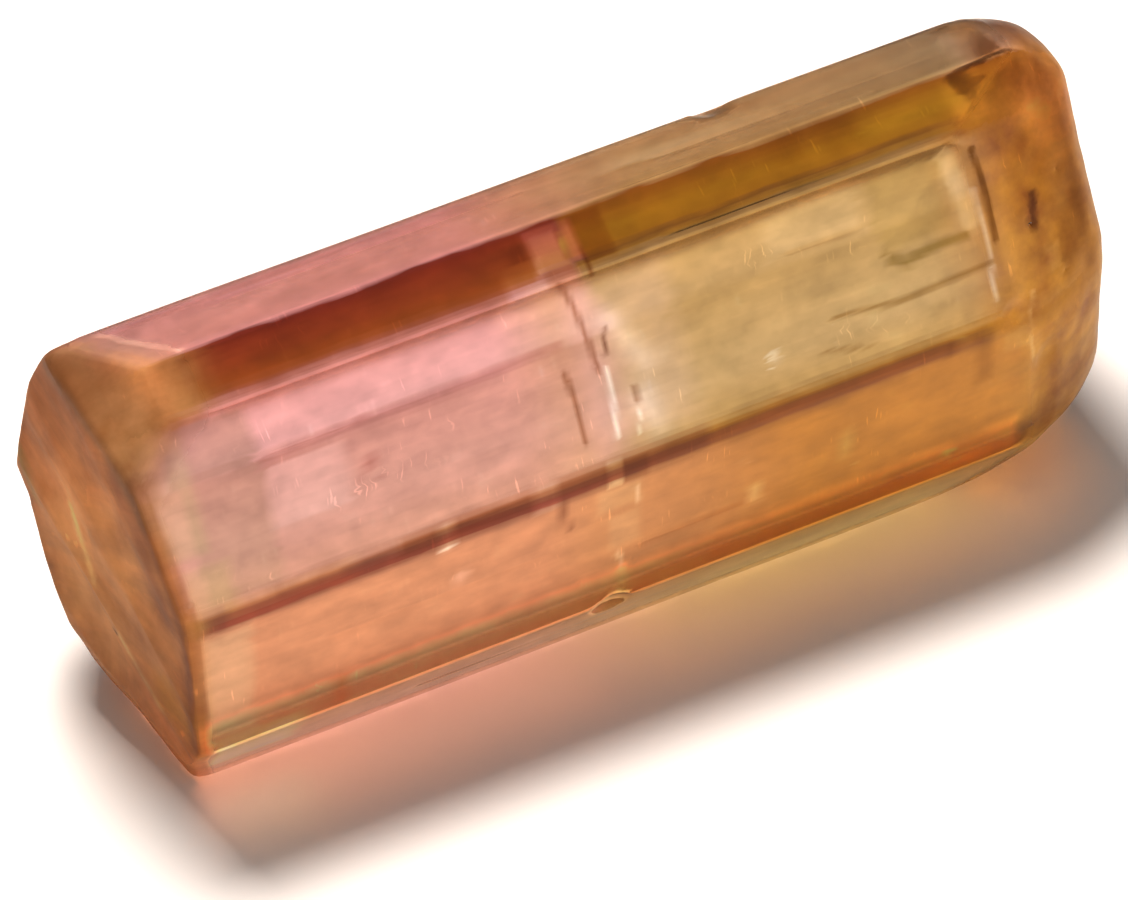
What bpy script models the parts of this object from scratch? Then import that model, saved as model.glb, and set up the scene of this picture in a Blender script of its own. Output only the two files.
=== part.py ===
"""A bicolor tourmaline crystal, lying on one of its prism faces. Metres, +Z up.

The crystal is one solid. A block is cut down by the planes of the crystal's
faces and its edges are worn. Then growth lines, ripples of the break, chips and
etch pits are cut into it. It is modelled about its own axis, which runs along X
from the broken pink end to the grown yellow end. An empty then puts it down with
the origin under its middle, on the surface that it rests on.
"""

import math
import random

import bmesh
import bpy
from mathutils import Matrix, Vector

MM = 0.001
NODE = "crystal"

# Prism faces: the direction that each looks, in degrees up from the front (-Y),
# and its distance from the crystal's axis.
PRISM_FACES = {
    90: 4.56 * MM,
    60: 4.02 * MM,
    30: 3.05 * MM,
    15: 3.22 * MM,
    0: 3.28 * MM,
    -30: 4.52 * MM,
    -90: 5.24 * MM,
    -150: 3.80 * MM,
    180: 3.90 * MM,
    150: 3.30 * MM,
}

# End faces: the direction that each leans to, how many degrees it leans from
# square, and where its plane crosses the axis.
BROKEN_END = (
    (-14, 8.3, -0.62 * MM),
    (60, 62, -6.95 * MM),
    (-78, 23, -1.95 * MM),
    (-148, 31.6, -2.47 * MM),
    (165, 47, -3.89 * MM),
)
GROWN_END = (
    (30, 72, 27.9 * MM),
    (97, 50, 25.7 * MM),
    (145, 39, 23.6 * MM),
    (1, 65, 26.2 * MM),
    (-39, 46, 24.9 * MM),
    (-43, 72, 34.0 * MM),
    (-153, 42, 24.6 * MM),
    (0, 0, 21.4 * MM),
)

# Worn edges: the width of the first chamfer in each zone, and the share of it
# that the second round of chamfers takes.
PRISM_WEAR = 0.12 * MM
BROKEN_WEAR = 0.20 * MM
GROWN_WEAR = 0.70 * MM
SECOND_ROUND = 0.42
SHARP = math.radians(9)
BROKEN_ZONE = 1.2 * MM
GROWN_ZONE = 2.4 * MM

# Growth lines: shallow grooves along the prism. Those that show from the front: the
# face, the height up it from the foot of its distance, and where they start and end.
FRONT_LINES = (
    (90, 0.35 * MM, 12.0 * MM, 18.6 * MM),
    (90, 0.75 * MM, 2.6 * MM, 9.4 * MM),
    (30, 1.45 * MM, 2.3 * MM, 8.6 * MM),
    (30, 1.61 * MM, 13.6 * MM, 16.2 * MM),
    (30, -0.03 * MM, 14.3 * MM, 18.6 * MM),
    (30, -0.42 * MM, 12.8 * MM, 15.6 * MM),
    (0, -1.30 * MM, 2.8 * MM, 7.8 * MM),
    (0, -2.00 * MM, 9.9 * MM, 14.5 * MM),
    (-30, -2.30 * MM, 5.0 * MM, 12.0 * MM),
)

# Those of the other faces: how many, and the stretch that they are spread over.
OTHER_LINES = {
    -90: (3, -1.1 * MM, 1.9 * MM),
    -150: (7, -1.0 * MM, 3.6 * MM),
    150: (8, -3.1 * MM, 1.8 * MM),
}
GROWTH_LINE_WIDTH = (0.12 * MM, 0.20 * MM)
GROWTH_LINE_DEPTH = (0.014 * MM, 0.028 * MM)
GROWTH_LINE_ZONE = (0.8 * MM, 19.0 * MM)
GROWTH_LINE_SHORTEST = 4.0 * MM
GROWTH_LINE_TAPER = 0.35
GROWTH_SEED = 7

# The ledge along the upper band's lower edge, on the yellow half.
LEDGE_FACE, LEDGE_HEIGHT = 60, 1.02 * MM
LEDGE_START, LEDGE_END = 11.4 * MM, 18.6 * MM
LEDGE_WIDTH, LEDGE_DEPTH = 0.15 * MM, 0.05 * MM

# Ripples of the break: troughs of a large radius, which run down and forward. The
# place of each across the broken end, its depth, and its turn in degrees from them.
RIPPLE_RADIUS = 4.0 * MM
RIPPLE_DIRECTION = -41
RIPPLE_SIDES = 72
RIPPLES = (
    (-2.15 * MM, 0.10 * MM, 8),
    (-0.45 * MM, 0.07 * MM, 3),
    (1.35 * MM, 0.08 * MM, -5),
)

# Chips: the place along the axis, the direction from it, how far from it the
# chip's ball is centred, and the ball's radius. Then how often the ball is divided.
CHIPS = (
    (0.05 * MM, -115, 6.35 * MM, 1.05 * MM),
    (-0.10 * MM, 172, 4.60 * MM, 0.90 * MM),
    (-0.10 * MM, 98, 5.35 * MM, 0.75 * MM),
    (9.30 * MM, -46, 5.35 * MM, 0.80 * MM),
    (13.8 * MM, 105, 5.50 * MM, 0.95 * MM),
    (19.6 * MM, -15, 4.30 * MM, 1.10 * MM),
    (20.8 * MM, -170, 4.50 * MM, 1.00 * MM),
)
CHIP_DIVISIONS = 3

# Etch pits on the grown end's largest face: place up the face and across it, and
# the pit's radius. Their middle lies this far from the axis.
ETCH_PITS = (
    (0.10 * MM, 0.90 * MM, 0.20 * MM),
    (-0.55 * MM, -0.35 * MM, 0.14 * MM),
    (0.45 * MM, -1.15 * MM, 0.16 * MM),
    (-0.90 * MM, 1.60 * MM, 0.12 * MM),
)
PIT_MIDDLE = 2.6 * MM

# The shape that cuts a pit, as shares of its radius: its tip, its open end and
# height, and how far out of the face its middle lies.
PIT_TIP = 0.125
PIT_HEIGHT = 1.6
PIT_RAISED = 0.4

BLOCK = 60 * MM
OVERSHOOT = 8 * MM
CRYSTAL_TINT = (0.80, 0.42, 0.24, 1)
TOURMALINE_IOR = 1.63
CRYSTAL_ROUGHNESS = 0.08


def section_direction(degrees):
    """The direction square to the axis that lies this far up from the front."""
    angle = math.radians(degrees)
    return Vector((0, -math.cos(angle), math.sin(angle)))


def end_direction(side, degrees, lean):
    """The way an end face looks: side is 1 or -1, and it leans towards degrees."""
    tilt = math.radians(lean)
    square = Vector((side * math.cos(tilt), 0, 0))
    return square + section_direction(degrees) * math.sin(tilt)


def frame_matrix(place, along, outward):
    """A frame at place, with its Z along one direction and its X outward."""
    z = along.normalized()
    y = z.cross(outward).normalized()
    x = y.cross(z)
    return Matrix.Translation(place) @ Matrix((x, y, z)).transposed().to_4x4()


def cut_flat(bm, point, normal):
    """Cuts away what lies beyond a plane, and closes the cut with one flat face."""
    whole = bm.verts[:] + bm.edges[:] + bm.faces[:]
    cut = bmesh.ops.bisect_plane(
        bm, geom=whole, dist=1e-7, plane_co=point, plane_no=normal, clear_outer=True
    )
    rim = [part for part in cut["geom_cut"] if isinstance(part, bmesh.types.BMEdge)]
    if len(rim) > 2:
        bmesh.ops.edgeloop_fill(bm, edges=rim)


def cut_crystal_faces(bm):
    """The flat faces of the prism, the broken end and the grown end."""
    for degrees, distance in PRISM_FACES.items():
        direction = section_direction(degrees)
        cut_flat(bm, direction * distance, direction)
    for side, faces in ((-1, BROKEN_END), (1, GROWN_END)):
        for degrees, lean, crossing in faces:
            cut_flat(bm, Vector((crossing, 0, 0)), end_direction(side, degrees, lean))


def wear_at(x, start, end):
    """How wide an edge is worn at this place along the crystal."""
    if x < start + BROKEN_ZONE:
        return BROKEN_WEAR
    if x > end - GROWN_ZONE:
        return GROWN_WEAR
    return PRISM_WEAR


def wear_edges(bm, share):
    """Chamfers every sharp edge by a plane, which keeps the body convex."""
    bm.normal_update()
    start = min(v.co.x for v in bm.verts)
    end = max(v.co.x for v in bm.verts)
    planes = []
    for edge in bm.edges:
        turn = edge.calc_face_angle()
        if turn < SHARP:
            continue
        middle = (edge.verts[0].co + edge.verts[1].co) / 2
        normal = (edge.link_faces[0].normal + edge.link_faces[1].normal).normalized()
        depth = share * wear_at(middle.x, start, end) * math.tan(turn / 2) / 2
        planes.append((middle - normal * depth, normal))
    for point, normal in planes:
        cut_flat(bm, point, normal)


def crystal_body():
    """The worn convex body, before anything is cut into its faces."""
    bm = bmesh.new()
    bmesh.ops.create_cube(bm, size=BLOCK)
    bmesh.ops.translate(bm, verts=bm.verts, vec=(BLOCK / 4, 0, 0))
    cut_crystal_faces(bm)
    wear_edges(bm, 1)
    wear_edges(bm, SECOND_ROUND)
    bmesh.ops.recalc_face_normals(bm, faces=bm.faces)
    return bm


def groove(bm, degrees, height, start, end, width, depth):
    """A bar of diamond section, centred on a prism face, that thins to one end."""
    outward = section_direction(degrees)
    upward = section_direction(degrees + 90)
    place = outward * PRISM_FACES[degrees] + upward * height
    place.x = (start + end) / 2
    bar = Matrix.Diagonal((depth, width / 2, 1, 1))
    bmesh.ops.create_cone(
        bm,
        cap_ends=True,
        segments=4,
        radius1=1,
        radius2=GROWTH_LINE_TAPER,
        depth=end - start,
        matrix=frame_matrix(place, Vector((1, 0, 0)), outward) @ bar,
    )


def growth_line_places():
    """The face, height, start and end of every growth line."""
    places = list(FRONT_LINES)
    chance = random.Random(GROWTH_SEED)
    first, last = GROWTH_LINE_ZONE
    for degrees, (count, low, high) in OTHER_LINES.items():
        step = (high - low) / count
        for i in range(count):
            height = low + (i + chance.uniform(0.3, 0.7)) * step
            start = chance.uniform(first, last - GROWTH_LINE_SHORTEST)
            end = chance.uniform(start + GROWTH_LINE_SHORTEST, last)
            places.append((degrees, height, start, end))
    return places


def growth_lines():
    """Grooves of uneven width and depth along the prism faces, and the ledge."""
    bm = bmesh.new()
    chance = random.Random(GROWTH_SEED)
    for degrees, height, start, end in growth_line_places():
        width = chance.uniform(*GROWTH_LINE_WIDTH)
        depth = chance.uniform(*GROWTH_LINE_DEPTH)
        groove(bm, degrees, height, start, end, width, depth)
    groove(bm, LEDGE_FACE, LEDGE_HEIGHT, LEDGE_START, LEDGE_END, LEDGE_WIDTH, LEDGE_DEPTH)
    return bm


def ripples():
    """Long drums whose sides dip into the broken end."""
    bm = bmesh.new()
    degrees, lean, crossing = BROKEN_END[0]
    outward = end_direction(-1, degrees, lean)
    sideways = section_direction(RIPPLE_DIRECTION + 90)
    sideways -= outward * outward.dot(sideways)
    for across, depth, turn in RIPPLES:
        along = section_direction(RIPPLE_DIRECTION + turn)
        along -= outward * outward.dot(along)
        place = Vector((crossing, 0, 0)) + sideways * across
        place += outward * (RIPPLE_RADIUS - depth)
        bmesh.ops.create_cone(
            bm,
            cap_ends=True,
            segments=RIPPLE_SIDES,
            radius1=RIPPLE_RADIUS,
            radius2=RIPPLE_RADIUS,
            depth=2 * OVERSHOOT,
            matrix=frame_matrix(place, along, outward),
        )
    return bm


def chips():
    """Balls that take a shell-shaped chip out of an edge."""
    bm = bmesh.new()
    for x, degrees, away, radius in CHIPS:
        place = section_direction(degrees) * away
        place.x = x
        bmesh.ops.create_icosphere(
            bm, subdivisions=CHIP_DIVISIONS, radius=radius, matrix=Matrix.Translation(place)
        )
    return bm


def etch_pits():
    """Three-sided hollows with their points inward, on the grown end's large face."""
    bm = bmesh.new()
    degrees, lean, crossing = GROWN_END[0]
    outward = end_direction(1, degrees, lean)
    across = Vector((1, 0, 0)).cross(outward).normalized()
    upward = outward.cross(across)
    middle = Vector((crossing, 0, 0)) - upward * PIT_MIDDLE / math.cos(math.radians(lean))
    for up, side, radius in ETCH_PITS:
        place = middle + upward * up + across * side
        bmesh.ops.create_cone(
            bm,
            cap_ends=True,
            segments=3,
            radius1=radius * PIT_TIP,
            radius2=radius * PIT_HEIGHT,
            depth=radius * PIT_HEIGHT,
            matrix=frame_matrix(place + outward * radius * PIT_RAISED, outward, upward),
        )
    return bm


def add_object(name, bm, collection, frame):
    """Makes an object of the mesh, in a collection and under the frame."""
    mesh = bpy.data.meshes.new(name)
    bm.to_mesh(mesh)
    bm.free()
    obj = bpy.data.objects.new(name, mesh)
    obj.parent = frame
    collection.objects.link(obj)
    return obj


def add_collection(name):
    collection = bpy.data.collections.new(name)
    bpy.context.scene.collection.children.link(collection)
    return collection


def cut_with(target, cutter):
    """Subtracts a cutter, whose shapes may overlap each other."""
    cutter.hide_render = True
    cutter.display_type = "WIRE"
    boolean = target.modifiers.new(cutter.name, "BOOLEAN")
    boolean.operation = "DIFFERENCE"
    boolean.object = cutter
    boolean.use_self = True


def crystal_material():
    """Clear tourmaline of the colour between the two ends."""
    material = bpy.data.materials.new("tourmaline")
    material.use_nodes = True
    shader = material.node_tree.nodes["Principled BSDF"]
    shader.inputs["Base Color"].default_value = CRYSTAL_TINT
    shader.inputs["Roughness"].default_value = CRYSTAL_ROUGHNESS
    shader.inputs["Metallic"].default_value = 0.0
    shader.inputs["IOR"].default_value = TOURMALINE_IOR
    shader.inputs["Transmission Weight"].default_value = 1.0
    return material


def resting_place(bm):
    """The shift that puts the body's box on the ground with the origin under it."""
    low = Vector(min(v.co[i] for v in bm.verts) for i in range(3))
    high = Vector(max(v.co[i] for v in bm.verts) for i in range(3))
    middle = (low + high) / 2
    return Vector((-middle.x, -middle.y, -low.z))


def main():
    for obj in list(bpy.data.objects):
        bpy.data.objects.remove(obj)
    parts = add_collection("bicolor tourmaline crystal")
    cutters = add_collection("cutters")
    body = crystal_body()
    frame = bpy.data.objects.new("crystal_frame", None)
    frame.location = resting_place(body)
    parts.objects.link(frame)
    crystal = add_object(NODE, body, parts, frame)
    crystal.data.materials.append(crystal_material())
    shapes = {
        "ripples": ripples,
        "chips": chips,
        "etch_pits": etch_pits,
        "growth_lines": growth_lines,
    }
    for name, make in shapes.items():
        cut_with(crystal, add_object(name, make(), cutters, frame))


main()
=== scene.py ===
"""The looks of a bicolor tourmaline crystal that lies on a pale table.

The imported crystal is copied, sliced into small cells, worn and rounded, and takes
the node's place. Places on the prism are given unrolled, in millimetres: the
length along the crystal from its broken pink end, and the girth round it, which is
0 at the back edge of the top face and grows over the front to the bottom.
"""

import math

import bmesh
import bpy
import numpy as np
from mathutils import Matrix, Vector, noise


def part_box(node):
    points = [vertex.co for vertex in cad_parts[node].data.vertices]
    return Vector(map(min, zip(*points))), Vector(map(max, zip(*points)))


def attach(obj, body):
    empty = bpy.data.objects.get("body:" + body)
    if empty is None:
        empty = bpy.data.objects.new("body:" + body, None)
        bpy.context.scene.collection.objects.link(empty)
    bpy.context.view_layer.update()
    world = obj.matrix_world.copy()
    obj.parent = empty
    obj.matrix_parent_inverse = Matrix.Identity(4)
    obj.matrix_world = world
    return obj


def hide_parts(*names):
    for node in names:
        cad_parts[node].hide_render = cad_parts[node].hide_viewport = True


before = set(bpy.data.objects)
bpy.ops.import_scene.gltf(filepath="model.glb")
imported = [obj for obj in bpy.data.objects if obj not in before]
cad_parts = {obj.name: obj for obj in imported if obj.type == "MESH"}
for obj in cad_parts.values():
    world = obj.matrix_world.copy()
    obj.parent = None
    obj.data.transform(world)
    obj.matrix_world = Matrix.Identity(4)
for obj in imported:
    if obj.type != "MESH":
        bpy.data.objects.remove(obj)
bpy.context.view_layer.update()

MM = 0.001
NODE = "crystal"

# The photograph: its width in pixels, and the size of a pixel at the crystal.
PHOTO_WIDTH = 1128
PIXEL = 0.02 * MM

# The crystal's own axis: where it starts, at the broken end.
AXIS_START = Vector((-10.20, -0.31, 5.24)) * MM

# The prism's faces in their order round it, from its back over its top to its
# bottom: the direction that each looks, in degrees up from the front (-Y).
PRISM = {
    "back_low": 210,
    "back": 180,
    "back_high": 150,
    "strip": 90,
    "band": 60,
    "window": 30,
    "line": 15,
    "lower": 0,
    "under": -30,
    "bottom": -90,
}
FIRST_FACE = "strip"

# The ends' faces: the direction that each leans to, and its lean from square.
BROKEN = ((-14, 8.3), (60, 62), (-78, 23), (-148, 31.6), (165, 47))
GROWN = ((30, 72), (97, 50), (145, 39), (1, 65), (-39, 46), (-43, 72), (-153, 42), (0, 0))


def section_direction(degrees):
    """The direction square to the axis that lies this far up from the front."""
    angle = math.radians(degrees)
    return Vector((0, -math.cos(angle), math.sin(angle)))


def end_direction(side, degrees, lean):
    """The way an end face looks: side is 1 or -1, and it leans towards degrees."""
    tilt = math.radians(lean)
    square = Vector((side * math.cos(tilt), 0, 0))
    return square + section_direction(degrees) * math.sin(tilt)


# The camera: the photograph's viewing angle, from far away. It aims at a point that
# lies along the axis from its start, then to the right and down in the picture. The
# sensor's width is in millimetres.
ELEVATION = math.radians(45)
TURN = math.radians(27.9)
DISTANCE = 180 * MM
AIM_ALONG = 9.1 * MM
AIM_RIGHT = 0.72 * MM
AIM_DOWN = 1.32 * MM
CLIP_START = 10 * MM
SENSOR = 36


def photo_camera():
    """Looks along the photograph's line of sight at the crystal's middle."""
    level = Vector((math.sin(TURN), math.cos(TURN), 0))
    right = Vector((math.cos(TURN), -math.sin(TURN), 0))
    forward = level * math.cos(ELEVATION) - Vector((0, 0, math.sin(ELEVATION)))
    up = right.cross(forward)
    target = AXIS_START + Vector((AIM_ALONG, 0, 0)) + right * AIM_RIGHT - up * AIM_DOWN
    data = bpy.data.cameras.new("camera")
    data.sensor_width = SENSOR
    data.lens = SENSOR * DISTANCE / (PHOTO_WIDTH * PIXEL)
    data.clip_start = CLIP_START
    camera = bpy.data.objects.new("camera", data)
    camera.location = target - forward * DISTANCE
    camera.rotation_euler = forward.to_track_quat("-Z", "Y").to_euler()
    bpy.context.scene.collection.objects.link(camera)
    bpy.context.scene.camera = camera


# The light: a soft lamp, high and behind the crystal, with its power in watts, and a
# dim room. Then the table.
LAMP_HEIGHT = math.radians(69)
LAMP_AZIMUTH = math.radians(-8)
LAMP_AWAY = 160 * MM
LAMP_SIZE = 46 * MM
LAMP_POWER = 0.36
LAMP_COLOUR = (1.0, 0.91, 0.84)
ROOM_LIGHT = 0.38
ROOM_COLOUR = (1.0, 0.96, 0.93, 1)
FLOOR_SIZE = 1.2
FLOOR_COLOUR = (0.88, 0.87, 0.86, 1)
FLOOR_ROUGHNESS = 0.9


def soft_lamp():
    """The lamp, aimed at the crystal."""
    flat = math.cos(LAMP_HEIGHT)
    right, back = math.sin(LAMP_AZIMUTH) * flat, math.cos(LAMP_AZIMUTH) * flat
    where = Vector((right, back, math.sin(LAMP_HEIGHT)))
    data = bpy.data.lights.new("lamp", "AREA")
    data.shape = "DISK"
    data.size = LAMP_SIZE
    data.energy = LAMP_POWER
    data.color = LAMP_COLOUR
    lamp = bpy.data.objects.new("lamp", data)
    lamp.location = where * LAMP_AWAY
    lamp.rotation_euler = (-where).to_track_quat("-Z", "Y").to_euler()
    bpy.context.scene.collection.objects.link(lamp)


def room_light():
    """Even pale light from all round."""
    world = bpy.data.worlds.new("room")
    world.use_nodes = True
    background = world.node_tree.nodes["Background"]
    background.inputs["Strength"].default_value = ROOM_LIGHT
    background.inputs["Color"].default_value = ROOM_COLOUR
    bpy.context.scene.world = world


def pale_floor():
    """A plain pale table."""
    bm = bmesh.new()
    bmesh.ops.create_grid(bm, x_segments=1, y_segments=1, size=FLOOR_SIZE / 2)
    floor = add_piece("floor", bm)
    material = bpy.data.materials.new("pale_floor")
    material.use_nodes = True
    shader = material.node_tree.nodes["Principled BSDF"]
    shader.inputs["Base Color"].default_value = FLOOR_COLOUR
    shader.inputs["Roughness"].default_value = FLOOR_ROUGHNESS
    floor.data.materials.append(material)


def add_piece(name, bm):
    """Makes an object of the mesh, in the scene."""
    mesh = bpy.data.meshes.new(name)
    bm.to_mesh(mesh)
    bm.free()
    piece = bpy.data.objects.new(name, mesh)
    bpy.context.scene.collection.objects.link(piece)
    return piece


# The dressed mesh's cells, in millimetres: their length along the crystal, the
# stretches with fine marks, each with its start, its end and the length of its
# shorter cells, and the size of all cells across the crystal.
CELL_ALONG = 0.3
FINE_STRETCHES = ((0.0, 1.0, 0.1), (8.4, 10.9, 0.09), (17.5, 20.3, 0.11))
CELL_ACROSS = 0.10

# How near two corners are that are joined, and how near a plane a corner is that
# counts as on it, in metres.
JOINED = 1e-6
ON_PLANE = 1e-8


def slice_places(low, high):
    """Where the planes square to the crystal cut it, in metres along X."""
    places = list(np.arange(low, high, CELL_ALONG * MM))
    for start, end, step in FINE_STRETCHES:
        first, last = AXIS_START.x + start * MM, AXIS_START.x + end * MM
        places = [x for x in places if not first <= x <= last]
        places += list(np.arange(first, last, step * MM))
    return sorted(places)


def slice_body(bm, axis, places):
    """Cuts every face by planes square to an axis, which changes no shape."""
    normal = Vector((0, 0, 0))
    normal[axis] = 1
    for place in places:
        geometry = bm.verts[:] + bm.edges[:] + bm.faces[:]
        point = normal * place
        bmesh.ops.bisect_plane(bm, geom=geometry, dist=ON_PLANE, plane_co=point, plane_no=normal)


def sliced_body():
    """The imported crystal's mesh, sliced into small cells."""
    bm = bmesh.new()
    bm.from_mesh(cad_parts[NODE].data)
    bmesh.ops.remove_doubles(bm, verts=bm.verts, dist=JOINED)
    low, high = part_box(NODE)
    slice_body(bm, 0, slice_places(low[0], high[0]))
    for axis in (1, 2):
        count = round((high[axis] - low[axis]) / (CELL_ACROSS * MM))
        slice_body(bm, axis, np.linspace(low[axis], high[axis], count + 1)[1:-1])
    return bm


def face_edge(distances, name, other):
    """The height up one prism face at which another face's plane crosses it."""
    turn = math.radians(PRISM[other] - PRISM[name])
    return (distances[other] - distances[name] * math.cos(turn)) / math.sin(turn)


def unrolled_faces(places):
    """For each prism face: its distance from the axis, the height of its upper
    edge on it, the girth at that edge, and its width, all in millimetres."""
    distances = {}
    for name, degrees in PRISM.items():
        distances[name] = (places @ np.array(section_direction(degrees))).max()
    names = list(PRISM)
    faces = {}
    girth = 0
    for i, name in enumerate(names):
        upper = face_edge(distances, name, names[i - 1])
        width = upper - face_edge(distances, name, names[(i + 1) % len(names)])
        faces[name] = {"distance": distances[name], "upper": upper, "girth": girth, "width": width}
        girth += width
    first = faces[FIRST_FACE]["girth"]
    for face in faces.values():
        face["girth"] -= first
    return faces


def unrolled_places(faces, places, centres, owners):
    """The unrolled place of each corner of the mesh, on the prism face nearest to
    its cell's middle. owners gives each corner's cell."""
    gaps = []
    girths = []
    for name, face in faces.items():
        outward = np.array(section_direction(PRISM[name]))
        upward = np.array(section_direction(PRISM[name] + 90))
        gaps.append(face["distance"] - centres @ outward)
        girths.append(face["girth"] + face["upper"] - places @ upward)
    nearest = np.argmin(gaps, axis=0)[owners]
    girth = np.choose(nearest, girths)
    return np.stack([places[:, 0], girth, np.zeros(len(girth))], axis=1)


# How softly the mask of some faces passes into that of the others, and how far it
# reaches over their edges, in millimetres; then the prism's faces that are frosted.
SOFTNESS = {"broken": 0.10, "grown": 0.12, "frosted": 0.15}
REACH = {"broken": 0.22, "grown": 0.20, "frosted": 0.0}
FROSTED = ("back_low", "back", "back_high", "bottom")

# How many times its softness a place may lie beyond a mask's edge before it counts no
# further, which keeps the exponential small.
FARTHEST = 30


def faces_mask(places, chosen, others, name):
    """How much each place belongs to the chosen faces, from 0 to 1. Both are lists
    of the directions that faces look in."""
    gaps = []
    for directions in (chosen, others):
        heights = [places @ np.array(direction) for direction in directions]
        gaps.append(np.min([height.max() - height for height in heights], axis=0))
    beyond = (gaps[0] - gaps[1] - REACH[name]) / SOFTNESS[name]
    return 1 / (1 + np.exp(np.clip(beyond, -FARTHEST, FARTHEST)))


def all_masks(places):
    """The masks of the two ends and of the frosted faces."""
    prism = {name: section_direction(degrees) for name, degrees in PRISM.items()}
    frosted = [prism[name] for name in FROSTED]
    clear = [direction for name, direction in prism.items() if name not in FROSTED]
    broken = [end_direction(-1, *face) for face in BROKEN]
    grown = [end_direction(1, *face) for face in GROWN]
    sides = list(prism.values())
    return {
        "broken": faces_mask(places, broken, sides, "broken"),
        "grown": faces_mask(places, grown, sides, "grown"),
        "frosted": faces_mask(places, frosted, clear, "frosted"),
    }


# Unevenness of the surfaces: layers with a depth and the size of their forms along
# the crystal and across it, in millimetres.
RELIEF = {
    "prism": ((0.002, 9.0, 0.30), (0.016, 3.0, 1.6)),
    "broken": ((0.08, 1.5, 1.5), (0.03, 0.5, 0.5)),
    "grown": ((0.06, 1.2, 1.2), (0.03, 0.5, 0.5)),
}


def unevenness(places, layers):
    """How deep the surface lies at each place under its plane, in millimetres."""
    depths = np.zeros(len(places))
    for amount, along, across in layers:
        spots = places / np.array((along, across, across))
        depths += amount * np.array([0.5 + 0.5 * noise.noise(Vector(spot)) for spot in spots])
    return depths


# Rounding: how many times each place is moved towards the middle of its neighbours,
# and between which lengths along the crystal that sets in. The first is for its whole
# length, the second for the broken end and the third for the grown end.
ROUNDINGS = ((5, (-3.0, -2.0)), (6, (1.1, 0.5)), (9, (18.0, 19.4)))


def rounded(places, edges, times, fade):
    """Each place moved towards the middle of its neighbours, by the fade's share."""
    start, end = fade
    share = np.clip((places[:, 0] - start) / (end - start), 0, 1)[:, None]
    count = np.bincount(edges.ravel(), minlength=len(places))[:, None]
    for _ in range(times):
        total = np.zeros_like(places)
        for axis in range(3):
            near = np.concatenate([places[edges[:, 1], axis], places[edges[:, 0], axis]])
            sides = np.concatenate([edges[:, 0], edges[:, 1]])
            total[:, axis] = np.bincount(sides, near, len(places))
        places = places + share * (total / count - places)
    return places


def mesh_array(items, name, kind, width):
    """A mesh property as an array, one row for each item."""
    values = np.empty(len(items) * width, kind)
    items.foreach_get(name, values)
    return values.reshape(-1, width) if width > 1 else values


def from_axis(points):
    """Points as places from the start of the axis, in millimetres."""
    return (points - np.array(AXIS_START)) / MM


def reshape(mesh, places):
    """Moves the mesh to these places, and gives its new normals."""
    points = places * MM + np.array(AXIS_START)
    mesh.vertices.foreach_set("co", points.astype(np.float32).ravel())
    mesh.update()
    return mesh_array(mesh.vertices, "normal", np.float32, 3)


def wear(mesh, places, masks):
    """Rounds the mesh's edges and makes its surfaces uneven."""
    edges = mesh_array(mesh.edges, "vertices", np.int32, 2)
    depths = unevenness(places, RELIEF["prism"]) * (1 - masks["broken"] - masks["grown"])
    for name in ("broken", "grown"):
        depths += masks[name] * unevenness(places, RELIEF[name])
    worn = places
    for times, fade in ROUNDINGS:
        worn = rounded(worn, edges, times, fade)
    normals = reshape(mesh, worn)
    reshape(mesh, worn - normals * depths[:, None])


def keep_values(mesh, name, kind, domain, values):
    """Keeps values on the mesh under a name, for the material to read."""
    field = {"FLOAT": "value", "FLOAT_VECTOR": "vector", "FLOAT_COLOR": "color"}[kind]
    layer = mesh.attributes.new(name, kind, domain)
    layer.data.foreach_set(field, values.astype(np.float32).ravel())


def keep_marks(mesh, places, faces, masks):
    """Keeps the masks, the unrolled places and the marks on the mesh."""
    centres = from_axis(mesh_array(mesh.polygons, "center", np.float32, 3))
    totals = mesh_array(mesh.polygons, "loop_total", np.int32, 1)
    corners = mesh_array(mesh.loops, "vertex_index", np.int32, 1)
    owners = np.repeat(np.arange(len(totals)), totals)
    unrolled = unrolled_places(faces, places[corners], centres, owners)
    shades = painted(unrolled[:, :2], PRISM_MARKS)
    on_break = masks["broken"][corners][:, None]
    shades += on_break * (painted(places[corners][:, 1:], BREAK_MARKS) - shades)
    alpha = np.ones((len(shades), 1))
    for name, mask in masks.items():
        keep_values(mesh, name, "FLOAT", "POINT", mask)
    keep_values(mesh, "unrolled", "FLOAT_VECTOR", "CORNER", unrolled)
    keep_values(mesh, "marks", "FLOAT_COLOR", "CORNER", np.hstack([shades, alpha]))


def dressed_crystal():
    """The crystal's finer mesh, with its masks and marks, in the node's place."""
    piece = add_piece("crystal_dressed", sliced_body())
    mesh = piece.data
    places = from_axis(mesh_array(mesh.vertices, "co", np.float32, 3))
    faces = unrolled_faces(places)
    masks = all_masks(places)
    keep_marks(mesh, places, faces, masks)
    wear(mesh, places, masks)
    mesh.shade_smooth()
    mesh.materials.append(tourmaline(faces))
    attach(piece, "root")
    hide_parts(NODE)
    return piece


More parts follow.
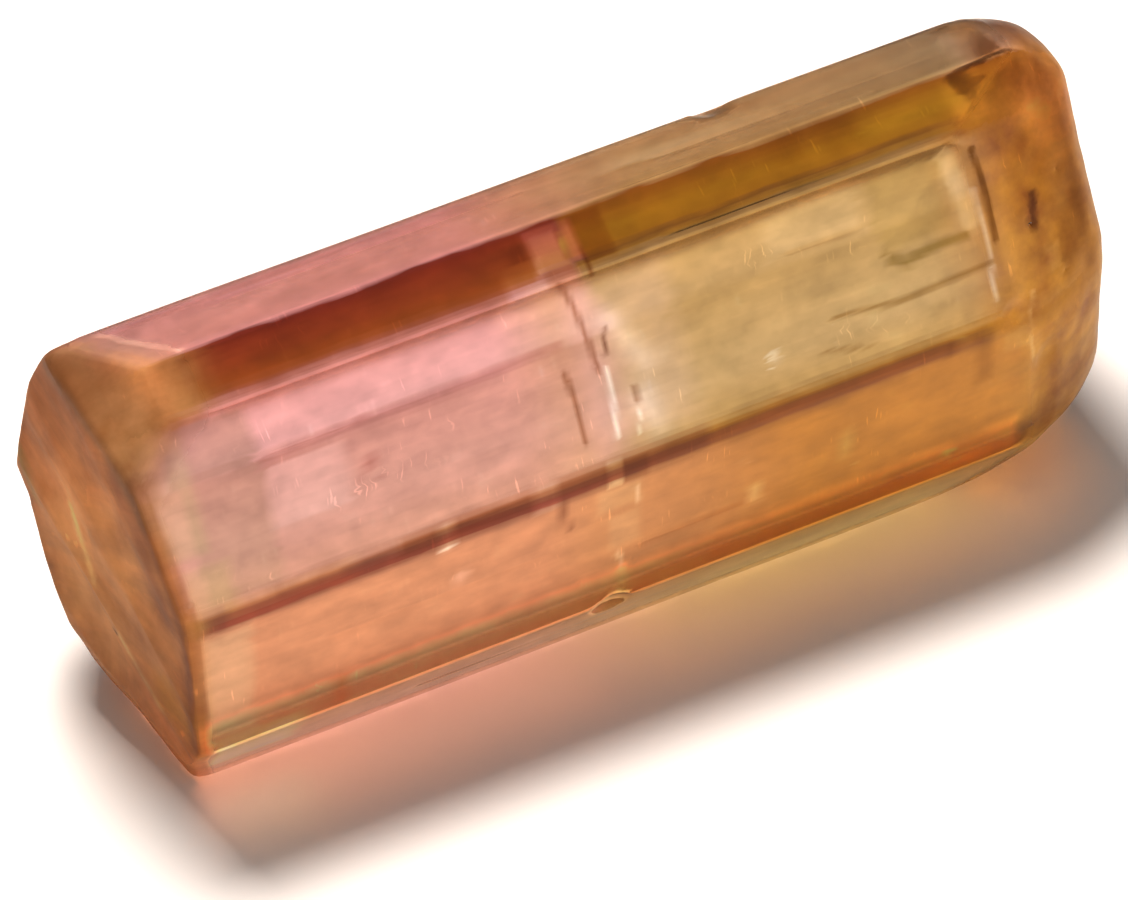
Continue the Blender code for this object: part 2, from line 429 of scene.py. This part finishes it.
# Marks in the prism, unrolled: flat-sided blocks and strokes. Each ends with the
# softness of its edge in millimetres and the share of red, green and blue light that
# it leaves, which is over 1 where it is paler than what is round it.
# A block starts with a name, its start and end along the crystal, and those of its
# girth.
BLOCKS = (
    # Painted reflection in the window: a second bright block, and its left end kept darker, outside the
    # reflection, as painted shade.
    ("window's end, past its painted reflection", 0.3, 2.2, 2.75, 3.9, 0.08, (0.78, 0.80, 0.72)),
    ("window's end, lower part, past its painted reflection", 0.5, 2.2, 3.9, 6.4, 0.12, (0.88, 0.93, 0.88)),
    ("second painted reflection in the window", 2.25, 3.85, 4.1, 5.4, 0.10, (1.12, 1.22, 1.28)),
    ("tan ridge", -0.3, 0.75, 2.8, 5.3, 0.15, (1.0, 1.14, 0.98)),
    ("tan ridge, foot", 0.1, 1.0, 5.6, 6.8, 0.15, (1.0, 1.1, 0.93)),
    ("pale corner", 0.2, 1.2, 7.1, 10.2, 0.25, (1.0, 1.22, 1.3)),
    ("pale foot", 0.5, 2.3, 10.2, 11.6, 0.15, (1.3, 1.7, 1.6)),
    ("olive start of the band", 0.8, 1.7, 1.4, 2.6, 0.12, (0.95, 1.1, 1.1)),
    # Painted shade that dims the glare on the bevel's edge.
    ("painted shade over the bevel's glare", -0.6, 0.9, 0.4, 1.5, 0.2, (0.7, 0.72, 0.7)),
    # Painted light that brightens the foot of the lower face, where the crystal's inner reflection
    # leaves it dark.
    ("painted light on the foot of the lower face, pink", -1.0, 9.5, 9.55, 10.40, 0.25, (2.6, 2.4, 2.3)),
    ("painted light on the foot of the lower face, yellow", 9.5, 18.6, 9.55, 10.40, 0.25, (2.3, 2.15, 2.0)),
    # Painted shade that dims the bright refracted line along the lower edge.
    ("painted shade over the lower edge's glint", 0.8, 19.5, 10.36, 10.56, 0.05, (0.80, 0.74, 0.68)),
    ("upper grown end", 19.3, 21.6, 0.8, 3.0, 0.8, (1.35, 1.42, 2.1)),
    ("pale grown edge", 19.9, 21.6, 1.9, 3.8, 0.6, (1.45, 1.5, 2.1)),
    ("pale break of the band", 8.85, 9.50, 1.5, 2.34, 0.14, (1.7, 2.8, 7.0)),
    ("its yellow side", 9.60, 9.85, 1.5, 2.34, 0.10, (1.4, 1.12, 5.5)),
    ("dim foot before the break", 8.1, 8.9, 2.1, 2.7, 0.12, (1.25, 1.5, 1.9)),
    ("dark blotch", 8.4, 8.75, 1.6, 2.0, 0.08, (0.75, 0.7, 0.7)),
    ("darkest start of the yellow band", 9.8, 10.5, 1.45, 2.5, 0.08, (0.8, 0.65, 0.5)),
    ("peach of the middle", 9.2, 11.3, 2.75, 6.3, 0.5, (1.10, 1.12, 1.4)),
    # Painted reflection at the top of the window in the yellow half.
    ("painted reflection at the top of the window", 13.6, 15.6, 2.75, 3.7, 0.15, (1.08, 1.12, 1.2)),
    ("olive end of the window", 15.9, 17.6, 2.75, 4.4, 0.15, (0.90, 0.90, 0.80)),
    ("first gap of the line", 5.43, 5.62, 6.5, 7.1, 0.05, (1.7, 2.6, 3.0)),
    ("second gap of the line", 7.6, 8.1, 6.5, 7.1, 0.08, (1.45, 1.9, 2.3)),
    ("third gap of the line", 9.2, 9.5, 6.5, 7.1, 0.05, (1.5, 2.1, 2.5)),
    ("deep brown line", 4.5, 11.5, 6.50, 6.92, 0.10, (0.86, 0.70, 0.50)),
    ("amber line", 11.5, 18.6, 6.50, 6.95, 0.12, (1.12, 1.08, 0.60)),
    ("pale line", 0.8, 3.5, 6.50, 6.92, 0.12, (1.35, 1.45, 1.2)),
    ("darkest line", 9.52, 10.1, 6.6, 7.1, 0.05, (0.75, 0.62, 0.5)),
    ("pale squares under the line", 8.95, 9.9, 7.15, 7.8, 0.15, (1.06, 1.2, 1.3)),
    ("pale square lower down", 9.2, 9.9, 8.0, 8.9, 0.12, (1.06, 1.18, 1.3)),
    ("blotch in the band", 14.3, 15.0, 1.35, 2.0, 0.15, (0.88, 0.82, 0.7)),
    ("blotch further on", 15.4, 16.3, 1.35, 2.1, 0.15, (0.88, 0.84, 0.75)),
    ("dim end of the band", 16.2, 19.0, 1.3, 2.1, 0.4, (1.12, 1.22, 1.3)),
    ("clear end of the band", 18.3, 19.1, 1.3, 2.4, 0.2, (1.3, 1.35, 1.6)),
    ("olive of the grown end", 19.1, 20.0, 3.1, 4.7, 0.2, (0.9, 0.85, 0.6)),
    ("pale square of the grown end", 19.6, 19.95, 5.6, 6.15, 0.06, (1.15, 1.25, 1.7)),
    ("amber of the grown end", 19.1, 20.4, 6.9, 9.6, 0.2, (0.9, 0.85, 0.5)),
    ("dark amber patch", 16.75, 17.15, 6.7, 7.1, 0.08, (0.8, 0.72, 0.5)),
    ("dark amber bar", 17.6, 17.95, 6.8, 8.1, 0.08, (0.8, 0.75, 0.55)),
    ("pale bar of the grown end", 18.2, 18.8, 7.05, 7.55, 0.08, (1.05, 1.15, 1.5)),
)

# The shade of the short pale ticks on the lower face.
PALE_TICK = (1.13, 1.28, 1.5)

# A stroke starts with its points, each with its length along the crystal and its
# girth, and its width.
STROKES = (
    # Dark cracks and pale veils where the colour changes.
    (((9.14, 2.70), (9.31, 3.28), (9.44, 4.07), (9.47, 4.61)), 0.12, 0.05, (0.78, 0.68, 0.62)),
    (((8.78, 4.47), (8.85, 5.03), (8.86, 5.67), (8.86, 5.95)), 0.11, 0.05, (0.76, 0.66, 0.58)),
    (((9.81, 3.84), (9.71, 4.38)), 0.08, 0.04, (0.62, 0.52, 0.48)),
    (((9.66, 4.68), (9.63, 5.30), (9.55, 6.02)), 0.10, 0.05, (1.2, 1.4, 1.5)),
    (((10.13, 5.69), (10.00, 6.18)), 0.05, 0.04, (1.15, 1.3, 1.4)),
    (((9.95, 3.70), (10.49, 4.76)), 0.30, 0.34, (1.14, 1.2, 1.36)),
    (((10.30, 5.45), (10.44, 6.20)), 0.42, 0.30, (1.14, 1.2, 1.36)),
    (((10.14, 5.20), (10.14, 5.48)), 0.12, 0.06, (0.75, 0.66, 0.6)),
    (((9.80, 2.15), (9.85, 2.72)), 0.07, 0.04, (0.75, 0.6, 0.5)),
    # Specks in the pink half of the window.
    (((4.36, 3.85), (4.31, 4.26)), 0.07, 0.04, (0.8, 0.68, 0.66)),
    (((4.32, 4.47), (4.49, 5.06)), 0.06, 0.04, (0.85, 0.75, 0.74)),
    (((4.18, 4.74), (4.15, 5.04)), 0.06, 0.04, (0.88, 0.8, 0.8)),
    (((6.28, 3.48), (6.26, 3.79)), 0.06, 0.05, (0.88, 0.8, 0.8)),
    # Dark cracks in the yellow half of the window.
    (((15.98, 4.51), (16.4, 4.75), (17.2, 4.62), (17.8, 4.66)), 0.20, 0.08, (0.78, 0.76, 0.62)),
    (((14.52, 5.32), (16.08, 5.44), (18.28, 5.39)), 0.07, 0.05, (0.78, 0.72, 0.6)),
    (((14.15, 5.88), (15.44, 6.18)), 0.06, 0.05, (0.85, 0.8, 0.7)),
    (((13.79, 3.74), (15.48, 3.78)), 0.06, 0.05, (0.88, 0.84, 0.78)),
    # The window's end, and the cracks of the grown end beside it.
    (((17.75, 2.95), (17.92, 3.7), (18.0, 4.4)), 0.40, 0.12, (1.16, 1.26, 1.4)),
    (((18.22, 3.82), (18.25, 4.59), (18.25, 5.23), (18.13, 6.16)), 0.10, 0.05, (1.2, 1.4, 1.9)),
    (((18.38, 3.0), (18.44, 3.5), (18.50, 4.13), (18.46, 5.0)), 0.09, 0.05, (0.66, 0.58, 0.42)),
    (((19.60, 4.47), (19.46, 5.07)), 0.20, 0.08, (0.6, 0.5, 0.35)),
    (((19.07, 6.38), (18.90, 6.91), (18.85, 7.45), (18.93, 8.05)), 0.07, 0.05, (1.12, 1.25, 1.8)),
    # Cracks and pale ticks of the lower face, of the line over it and of the face under
    # it, and one in the window.
    (((8.26, 6.95), (8.32, 7.4), (8.38, 7.93)), 0.07, 0.04, (0.7, 0.6, 0.55)),
    (((13.09, 5.57), (12.98, 6.17)), 0.08, 0.04, (1.15, 1.25, 1.5)),
    (((14.55, 8.00), (14.69, 9.07)), 0.08, 0.05, (1.1, 1.25, 1.5)),
    (((12.26, 7.78), (12.51, 9.03)), 0.07, 0.06, (1.1, 1.2, 1.4)),
    (((16.91, 9.68), (17.28, 10.08)), 0.07, 0.05, (1.15, 1.3, 1.6)),
    (((12.65, 7.70), (12.72, 8.20)), 0.07, 0.05, PALE_TICK),
    (((12.51, 8.63), (12.58, 9.17)), 0.07, 0.05, PALE_TICK),
    (((13.86, 6.95), (13.92, 7.40)), 0.08, 0.05, PALE_TICK),
    (((17.22, 8.40), (17.10, 8.85)), 0.08, 0.05, PALE_TICK),
    (((9.42, 8.96), (9.48, 9.44)), 0.07, 0.05, PALE_TICK),
    (((9.82, 7.36), (9.87, 7.84)), 0.09, 0.05, PALE_TICK),
    (((9.89, 9.07), (12.17, 9.02)), 0.06, 0.05, (0.88, 0.8, 0.72)),
    (((5.60, 7.10), (5.75, 7.16)), 0.12, 0.06, (1.2, 1.4, 1.6)),
    (((5.90, 8.0), (6.05, 8.4)), 0.12, 0.10, (1.15, 1.25, 1.4)),
    (((9.36, 9.1), (9.44, 9.22)), 0.10, 0.06, (1.15, 1.3, 1.4)),
    (((3.62, 10.45), (3.64, 10.75)), 0.09, 0.05, (1.15, 1.35, 1.5)),
    (((3.16, 9.70), (3.16, 10.2)), 0.30, 0.20, (0.9, 0.8, 0.7)),
    (((4.80, 12.2), (4.98, 12.3)), 0.12, 0.08, (0.6, 0.5, 0.45)),
    (((16.15, 7.05), (16.28, 7.12)), 0.10, 0.05, (1.15, 1.3, 1.6)),
    (((17.2, 6.68), (17.32, 6.72)), 0.10, 0.05, (1.15, 1.3, 1.7)),
    # The step between the window's bright upper part, a painted reflection, and its lower part.
    (((2.30, 4.00), (4.19, 3.93), (6.15, 3.96), (8.80, 3.86)), 0.16, 0.10, (0.90, 0.84, 0.84)),
)
PRISM_MARKS = (BLOCKS, STROKES)

# Marks on the broken end: strokes by their Y and Z from the crystal's axis. Two of them
# are painted shade over glare.
BREAK_STROKES = (
    (((1.3, 4.6), (-0.6, 4.5)), 0.5, 0.3, (1.10, 1.18, 1.28)),
    (((0.80, 0.42), (0.50, -0.30), (0.14, -1.18)), 0.16, 0.14, (1.15, 1.35, 1.5)),
    (((-0.66, -2.12), (-1.2, -2.6), (-1.91, -3.04)), 0.20, 0.15, (1.15, 1.35, 1.5)),
    # Painted shade that dims the glare on the broken end's upper edge.
    (((0.9, 4.2), (-1.0, 3.6), (-2.2, 2.6)), 1.0, 0.3, (0.78, 0.86, 1.0)),
    (((-1.2, 2.6), (-1.75, 2.0), (-2.1, 1.0), (-2.4, 0.0)), 0.80, 0.35, (0.78, 0.70, 0.66)),
    # Painted shade that dims the highlight on the rounded edge between the break and the window.
    (((-1.75, 2.9), (-2.9, 1.0), (-3.2, 0.0), (-3.2, -1.5), (-3.2, -3.2)), 0.5, 0.2, (0.74, 0.66, 0.60)),
    (((-2.4, -2.5), (-3.3, -2.7)), 1.2, 0.5, (0.95, 1.0, 0.6)),
    (((2.6, 0.6), (2.2, -0.4)), 0.35, 0.25, (0.8, 0.95, 0.8)),
    (((-0.49, -2.14), (-0.46, -2.12)), 0.14, 0.06, (0.5, 0.45, 0.45)),
    (((1.6, 1.9), (1.0, 1.2), (0.5, 0.4)), 0.5, 0.5, (1.08, 1.12, 1.15)),
)
BREAK_MARKS = ((), BREAK_STROKES)

# The power by which the shade of every stroke is made stronger.
STROKE_STRENGTH = 1.7


def faded(depth, softness):
    """1 well inside a mark and 0 well outside it, from how deep a place is in it."""
    share = np.clip(0.5 + depth / (2 * softness), 0, 1)
    return share * share * (3 - 2 * share)


def depth_in_stroke(places, points, width):
    """How deep each place lies in a stroke, under 0 outside it."""
    nearest = np.full(len(places), np.inf)
    for start, end in zip(points, points[1:]):
        start, run = np.array(start), np.array(end) - np.array(start)
        share = np.clip((places - start) @ run / (run @ run), 0, 1)[:, None]
        nearest = np.minimum(nearest, np.linalg.norm(places - start - share * run, axis=1))
    return width / 2 - nearest


def painted(places, marks):
    """The share of red, green and blue light that all marks leave at each place."""
    blocks, strokes = marks
    layers = []
    for _, start, end, upper, lower, softness, shade in blocks:
        inside = [places[:, 0] - start, end - places[:, 0], places[:, 1] - upper, lower - places[:, 1]]
        layers.append((np.min(inside, axis=0), softness, shade))
    for points, width, softness, shade in strokes:
        strong = np.array(shade) ** STROKE_STRENGTH
        layers.append((depth_in_stroke(places, points, width), softness, strong))
    total = np.ones((len(places), 3))
    for depth, softness, shade in layers:
        total *= 1 + faded(depth, softness)[:, None] * (np.array(shade) - 1)
    return total


# The material: clear tourmaline, by transmission, refraction and absorption. The
# glare colours its reflections. Its inside lets the passed colour through and absorbs
# the rest, the more the higher its density, which is per metre.
TOURMALINE_IOR = 1.63
CLEARNESS = 1.0
GLARE_COLOUR = (1.0, 0.72, 0.5, 1)
PASSED_COLOUR = (0.96, 0.80, 0.68, 1)
ABSORB_DENSITY = 100

# How rough the clear faces are, and how rough it gets where a mask is full. The rough
# zone of the broken end is made wider by multiplying its mask.
ROUGHNESS = 0.12
MASK_ROUGHNESS = {"frosted": 0.40, "broken": 0.60, "grown": 0.42}
BROKEN_SPREAD = 3

# What comes on top of the crystal's own light: the view's gamma, and the sheen that
# all faces show. Then the least share of light that a tint leaves at one crossing.
VIEW_GAMMA = 0.8
SHEEN = 0.035
DARKEST = 0.03

# How often light may bounce before it is given up.
LIGHT_BOUNCES = 16

# The colours that the faces show, as 8-bit values. Besides the crystal's own pink and
# yellow they hold painted light and shade: the band's dark brown is painted shade of
# its inner reflection, and the window's bright upper part is a painted reflection. Each
# stop gives how far down the face, from 0 to 1, the colour in the pink half and in the
# yellow half, and how gradually the one passes into the other, from 0 to 1.
FACE_COLOURS_AND_PAINTED_LIGHT = {
    "back_low": ((0.5, (252, 240, 238), (252, 246, 228), 0.2),),
    "back": ((0.5, (240, 200, 194), (240, 214, 160), 0.2),),
    "back_high": (
        (0.1, (232, 186, 178), (232, 200, 140), 0.2),
        (0.97, (232, 186, 178), (232, 200, 140), 0.2),
    ),
    "strip": (
        (0.04, (196, 140, 124), (190, 150, 122), 0.5),
        (0.12, (190, 122, 108), (178, 128, 96), 0.5),
        (0.45, (204, 132, 112), (186, 137, 100), 0.5),
        (0.97, (208, 130, 108), (178, 124, 82), 0.4),
    ),
    # The band's dark browns are painted shade of its inner reflection.
    "band": (
        (0.06, (136, 56, 12), (158, 90, 8), 0.0),
        (0.48, (150, 70, 22), (173, 112, 38), 0.0),
        (0.72, (160, 80, 34), (168, 106, 36), 0.0),
        (0.79, (166, 86, 44), (118, 62, 6), 0.0),
        (0.86, (170, 92, 52), (178, 122, 52), 0.0),
        (0.93, (176, 98, 62), (112, 58, 4), 0.0),
    ),
    # The window's bright stops, from 0.05 to 0.29, are a painted reflection.
    "window": (
        (0.02, (230, 160, 138), (205, 160, 108), 0.0),
        (0.05, (246, 184, 166), (218, 176, 130), 0.0),
        (0.29, (240, 180, 161), (212, 168, 120), 0.15),
        (0.36, (218, 154, 130), (200, 156, 106), 0.15),
        (0.80, (220, 156, 128), (204, 158, 108), 0.15),
        (0.97, (226, 160, 126), (200, 152, 98), 0.15),
    ),
    "line": ((0.35, (214, 146, 118), (182, 130, 64), 0.3), (0.80, (136, 62, 26), (132, 74, 8), 0.4)),
    "lower": (
        (0.03, (136, 62, 26), (132, 74, 8), 0.5),
        (0.10, (216, 140, 97), (186, 115, 52), 0.9),
        (0.55, (217, 141, 97), (188, 117, 52), 1.0),
        (0.97, (212, 130, 88), (184, 113, 55), 1.0),
    ),
    "under": ((0.1, (205, 130, 88), (180, 110, 54), 1.0), (0.9, (205, 140, 110), (190, 140, 95), 1.0)),
    "bottom": ((0.5, (252, 246, 242), (252, 248, 240), 0.5),),
}

# The two colours between which each end is mottled.
END_COLOURS = {
    "broken": ((150, 92, 58), (178, 118, 82)),
    "grown": ((154, 93, 26), (202, 138, 70)),
}

# How bright the crystal's inside is behind each face, in red, green and blue, as
# seen from the photograph's side.
INSIDE_LIGHT = {
    "back_low": (1, 1, 1),
    "back": (1, 1, 1),
    "back_high": (1, 1, 1),
    "strip": (0.82, 0.46, 0.27),
    "band": (1.20, 0.78, 0.33),
    "window": (1.12, 0.79, 0.565),
    "line": (1.8, 1.7, 1.7),
    "lower": (1.17, 0.89, 0.70),
    "under": (0.68, 0.40, 0.30),
    "bottom": (1, 1, 1),
    "broken": (0.52, 0.35, 0.40),
    "grown": (1.0, 0.78, 0.9),
}

# Where along the crystal the colour changes: where a sudden change starts and its
# length, and what a wholly gradual one adds to both, in millimetres.
CHANGE_START, CHANGE_LENGTH = 9.45, 0.3
GRADUAL_START, GRADUAL_LENGTH = -4.0, 8.5

# Clouding of the colours: layers, each with the size of its forms along the crystal
# and across it in millimetres, its detail, and the share by which it darkens and
# lightens. The values of every cloud lie about their middle one.
CLOUDS = (((1.4, 0.6), 2, 0.40), ((0.45, 0.35), 3, 0.26), ((3.0, 0.10), 1, 0.08))
CLOUD_MIDDLE = 0.5

# Wavering of the colours' borders: the size and the detail of its forms, and how far
# it goes across the crystal, in millimetres. It goes three times as far along it.
WAVER_SIZE = (1.5, 0.8)
WAVER_DETAIL = 2
WAVER = 0.20
WAVER_ALONG = 3 * WAVER

# Mottling of the two ends: the size and the detail of its forms, and the values of
# its cloud between which an end's first colour passes into its second.
MOTTLING_SIZE = 0.9 * MM
MOTTLING_DETAIL = 4
MOTTLING_LIMITS = (0.3, 0.7)

# Small pale ticks that run across the crystal: the size of one and of a patch of
# them, the details of their clouds, the values of the clouds at which they set in and
# are full, and how pale they are.
TICK_SIZE, TICK_DETAIL = (0.07, 0.55), 0
TICK_LIMITS = (0.72, 0.80)
PATCH_SIZE, PATCH_DETAIL = (1.6, 1.1), 1
PATCH_LIMITS = (0.54, 0.64)
TICK_PALENESS = 0.8


def add_node(tree, kind, inputs=(), **settings):
    """Adds a node, sets its properties, and sets or links its inputs."""
    made = tree.nodes.new("ShaderNode" + kind)
    for name, value in settings.items():
        setattr(made, name, value)
    for key, value in dict(inputs).items():
        if isinstance(value, bpy.types.NodeSocket):
            tree.links.new(value, made.inputs[key])
        else:
            made.inputs[key].default_value = value
    return made


def kept_values(tree, name, output="Fac"):
    """Reads the values that the mesh keeps under a name."""
    return add_node(tree, "Attribute", attribute_name=name).outputs[output]


def vector_math(tree, operation, *values):
    """Works out a vector from vectors."""
    return add_node(tree, "VectorMath", dict(enumerate(values)), operation=operation).outputs[0]


def number_math(tree, operation, *values):
    """Works out a number from numbers."""
    return add_node(tree, "Math", dict(enumerate(values)), operation=operation).outputs[0]


def mix_vectors(tree, share, first, second):
    """first where share is 0 and second where it is 1."""
    made = add_node(tree, "Mix", {0: share}, data_type="VECTOR")
    for socket, value in ((made.inputs[4], first), (made.inputs[5], second)):
        if isinstance(value, bpy.types.NodeSocket):
            tree.links.new(value, socket)
        else:
            socket.default_value = value
    return made.outputs[1]


def between(tree, value, limits):
    """0 up to the lower limit, 1 from the upper one on, and evenly from 0 to 1
    between them."""
    low, high = limits
    inputs = {"Value": value, "From Min": low, "From Max": high}
    return add_node(tree, "MapRange", inputs).outputs["Result"]


def seen_light(value):
    """The light that shows as this 8-bit value, by the standard curve of screens."""
    shown = (value / 255) ** VIEW_GAMMA
    return ((shown + 0.055) / 1.055) ** 2.4


def tint_of(colour, name):
    """The tint that shows an 8-bit colour on a face. One crossing of the surface
    takes the square root of the tint, so it is the square of the share to leave."""
    tint = []
    for value, light in zip(colour, INSIDE_LIGHT[name]):
        share = max(DARKEST, (seen_light(value) - SHEEN) / light)
        tint.append(min(1, share ** 2))
    return tuple(tint)


def colour_ramp(tree, place, stops):
    """A ramp of (position, colour) stops."""
    ramp = add_node(tree, "ValToRGB", {0: place})
    elements = ramp.color_ramp.elements
    elements.remove(elements[1])
    for i, (position, colour) in enumerate(sorted(stops)):
        stop = elements[0] if i == 0 else elements.new(position)
        stop.position = position
        stop.color = colour
    return ramp


def face_tints(tree, faces, unrolled):
    """Every prism face's tint, across the faces and along the crystal."""
    parts = add_node(tree, "SeparateXYZ", {0: unrolled})
    along, girth = parts.outputs["X"], parts.outputs["Y"]
    first = min(face["girth"] for face in faces.values())
    total = sum(face["width"] for face in faces.values())
    pink_stops = []
    yellow_stops = []
    for name, stops in FACE_COLOURS_AND_PAINTED_LIGHT.items():
        face = faces[name]
        for share, pink, yellow, gradual in stops:
            position = (face["girth"] + share * face["width"] - first) / total
            pink_stops.append((position, (*tint_of(pink, name), 1)))
            yellow_stops.append((position, (*tint_of(yellow, name), gradual)))
    position = number_math(tree, "DIVIDE", number_math(tree, "SUBTRACT", girth, first), total)
    pink = colour_ramp(tree, position, pink_stops).outputs["Color"]
    yellow = colour_ramp(tree, position, yellow_stops)
    gradual = yellow.outputs["Alpha"]
    start = number_math(tree, "MULTIPLY_ADD", gradual, GRADUAL_START, CHANGE_START)
    length = number_math(tree, "MULTIPLY_ADD", gradual, GRADUAL_LENGTH, CHANGE_LENGTH)
    change = number_math(tree, "DIVIDE", number_math(tree, "SUBTRACT", along, start), length)
    eased = add_node(tree, "MapRange", {"Value": change}, interpolation_type="SMOOTHSTEP")
    return mix_vectors(tree, eased.outputs["Result"], pink, yellow.outputs["Color"])


def cloud(tree, place, sizes, detail):
    """Soft unevenness about the clouds' middle value, by the size of its forms in
    each direction."""
    spot = vector_math(tree, "MULTIPLY", place, tuple(1 / size for size in sizes))
    return add_node(tree, "TexNoise", {"Vector": spot, "Scale": 1, "Detail": detail})


def unevenly_lit(tree, unrolled):
    """The share by which clouds and ticks darken or lighten each place."""
    strength = 1.0
    for size, detail, amount in CLOUDS:
        clouding = cloud(tree, unrolled, (*size, 1), detail).outputs["Fac"]
        share = number_math(tree, "MULTIPLY_ADD", clouding, 2 * amount, 1 - amount)
        strength = number_math(tree, "MULTIPLY", strength, share)
    tick = cloud(tree, unrolled, (*TICK_SIZE, 1), TICK_DETAIL).outputs["Fac"]
    patch = cloud(tree, unrolled, (*PATCH_SIZE, 1), PATCH_DETAIL).outputs["Fac"]
    tick = between(tree, tick, TICK_LIMITS)
    patch = between(tree, patch, PATCH_LIMITS)
    ticks = number_math(tree, "MULTIPLY", tick, patch)
    paleness = number_math(tree, "MULTIPLY_ADD", ticks, TICK_PALENESS, 1)
    return number_math(tree, "MULTIPLY", strength, paleness)


def wavered(tree, unrolled):
    """The unrolled places, shifted a little by soft clouds."""
    clouds = cloud(tree, unrolled, (*WAVER_SIZE, 1), WAVER_DETAIL).outputs["Color"]
    shift = vector_math(tree, "SUBTRACT", clouds, (CLOUD_MIDDLE,) * 3)
    return vector_math(tree, "MULTIPLY_ADD", shift, (WAVER_ALONG, WAVER, 0), unrolled)


def end_tints(tree, name, mottling):
    """An end's tint, between its two colours by the mottling."""
    first, second = (tint_of(colour, name) for colour in END_COLOURS[name])
    return mix_vectors(tree, between(tree, mottling, MOTTLING_LIMITS), first, second)


def crystal_tints(tree, faces, masks):
    """The crystal's tint at each place, with its ends, clouds, ticks and marks, some of which are
    painted light and shade.
    """
    unrolled = kept_values(tree, "unrolled", "Vector")
    marks = kept_values(tree, "marks", "Color")
    tints = face_tints(tree, faces, wavered(tree, unrolled))
    place = add_node(tree, "TexCoord").outputs["Object"]
    mottling = cloud(tree, place, (MOTTLING_SIZE,) * 3, MOTTLING_DETAIL).outputs["Fac"]
    for name in ("grown", "broken"):
        tints = mix_vectors(tree, masks[name], tints, end_tints(tree, name, mottling))
    lit = {0: tints, "Scale": unevenly_lit(tree, unrolled)}
    tints = add_node(tree, "VectorMath", lit, operation="SCALE").outputs[0]
    tints = vector_math(tree, "MULTIPLY", tints, vector_math(tree, "MULTIPLY", marks, marks))
    return vector_math(tree, "MINIMUM", tints, (1, 1, 1))


def crystal_roughness(tree, masks):
    """The crystal's roughness at each place."""
    wide = number_math(tree, "MULTIPLY", masks["broken"], BROKEN_SPREAD)
    masks = {**masks, "broken": number_math(tree, "MINIMUM", wide, 1)}
    rough = ROUGHNESS
    for name, roughness in MASK_ROUGHNESS.items():
        there = number_math(tree, "MULTIPLY", masks[name], roughness)
        rough = number_math(tree, "MAXIMUM", rough, there)
    return rough


def tourmaline(faces):
    """Clear tourmaline, tinted at its surface with painted light and shade in that tint, and absorbing
    light inside.
    """
    material = bpy.data.materials.new("tourmaline")
    material.use_nodes = True
    tree = material.node_tree
    shader = tree.nodes["Principled BSDF"]
    shader.inputs["Transmission Weight"].default_value = CLEARNESS
    shader.inputs["IOR"].default_value = TOURMALINE_IOR
    shader.inputs["Specular Tint"].default_value = GLARE_COLOUR
    masks = {name: kept_values(tree, name) for name in MASK_ROUGHNESS}
    tree.links.new(crystal_tints(tree, faces, masks), shader.inputs["Base Color"])
    tree.links.new(crystal_roughness(tree, masks), shader.inputs["Roughness"])
    absorbing = {"Color": PASSED_COLOUR, "Density": ABSORB_DENSITY}
    inside = add_node(tree, "VolumeAbsorption", absorbing).outputs["Volume"]
    tree.links.new(inside, tree.nodes["Material Output"].inputs["Volume"])
    return material


def colour_management():
    """Plain colours, and enough bounces for light to cross the crystal."""
    scene = bpy.context.scene
    scene.view_settings.view_transform = "Standard"
    scene.view_settings.gamma = VIEW_GAMMA
    scene.cycles.max_bounces = LIGHT_BOUNCES
    scene.cycles.transmission_bounces = LIGHT_BOUNCES


photo_camera()
soft_lamp()
room_light()
pale_floor()
dressed_crystal()
colour_management()
